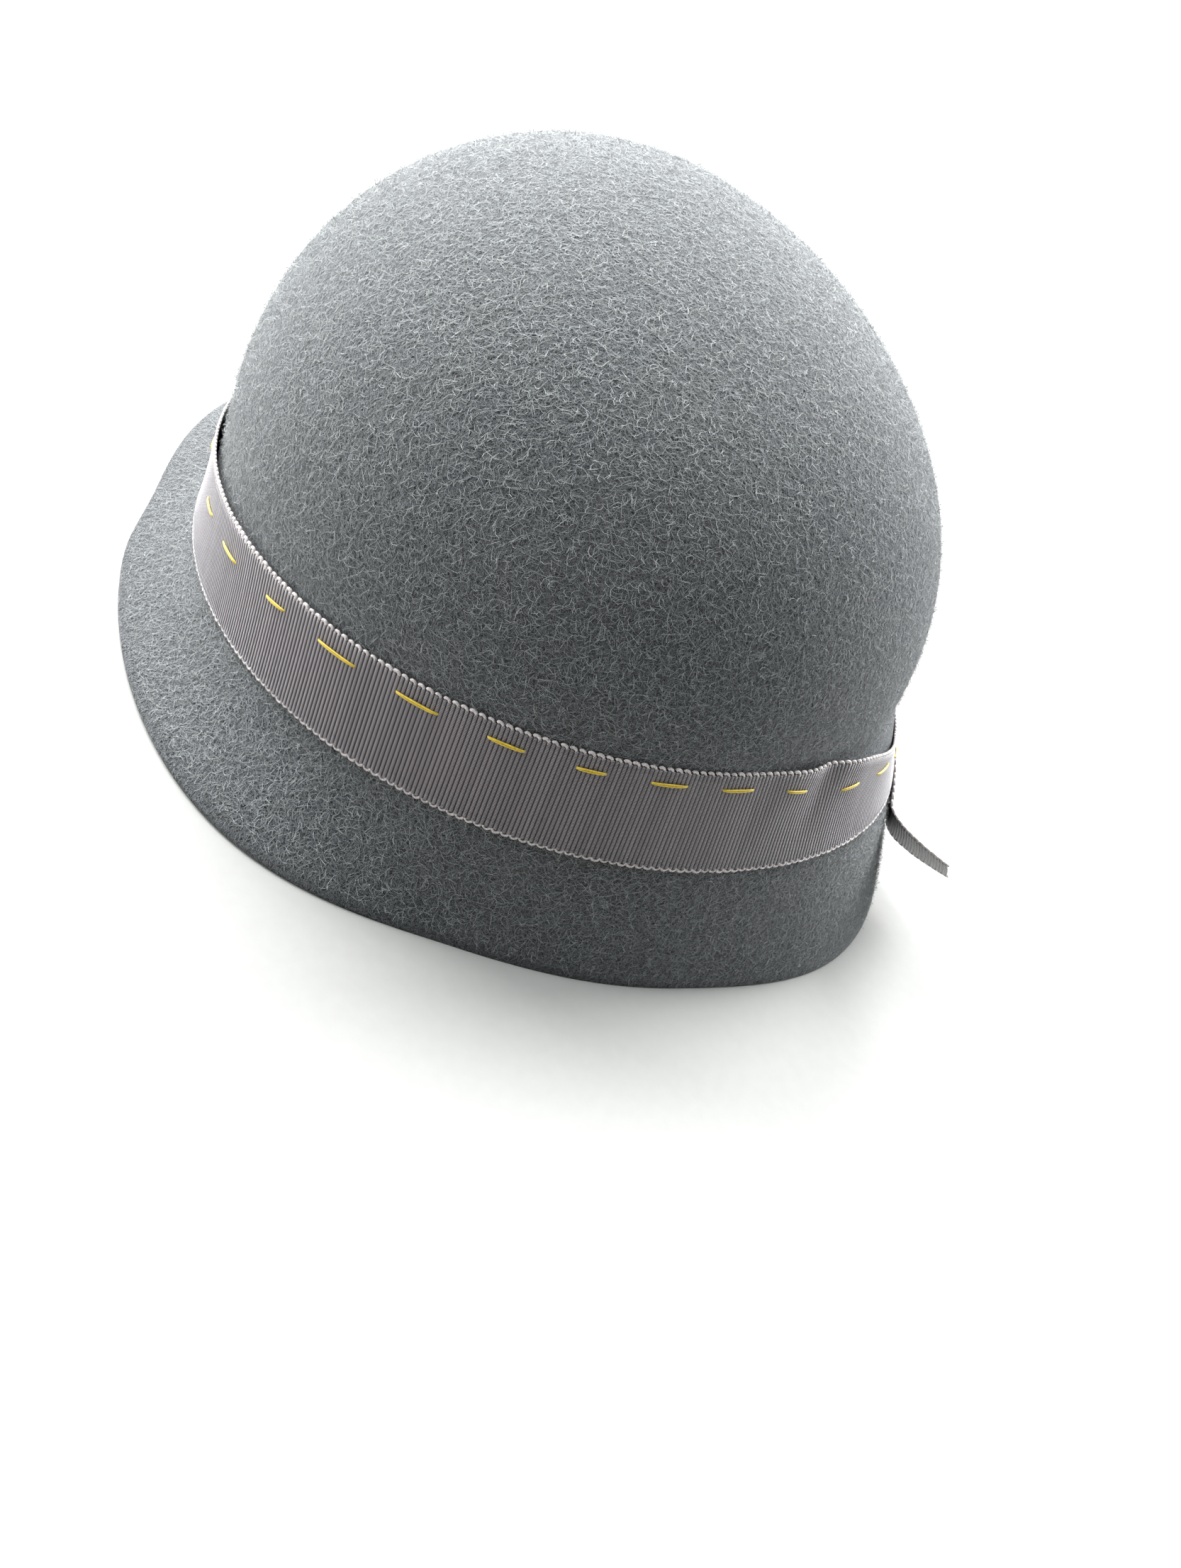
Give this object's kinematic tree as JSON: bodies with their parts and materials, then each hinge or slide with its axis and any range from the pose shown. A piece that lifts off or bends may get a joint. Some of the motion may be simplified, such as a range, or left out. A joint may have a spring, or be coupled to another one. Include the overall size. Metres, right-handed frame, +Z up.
{
  "type": "cloche hat",
  "caption": "Wool felt cloche hat, one-piece crown and turned-down brim, with a petersham ribbon and a flat bow at the side.",
  "frame": {"origin": "on the surface that the brim rests on, straight below the middle of the head oval at the ribbon's upper edge", "axes": "+Z up, -Y towards the front of the hat, +X towards the wearer's left"},
  "size_m": [0.2269, 0.2414, 0.1317],
  "materials": {
    "felt": "matte wool felt with a short nap",
    "ribbon": "ribbed petersham, slight sheen"
  },
  "bodies": {
    "root": {"felt_body": "felt", "ribbon_band": "ribbon", "bow_loop_back": "ribbon", "bow_loop_front": "ribbon", "bow_tail_back": "ribbon", "bow_tail_front": "ribbon", "bow_knot": "ribbon"}
  },
  "joints": []
}
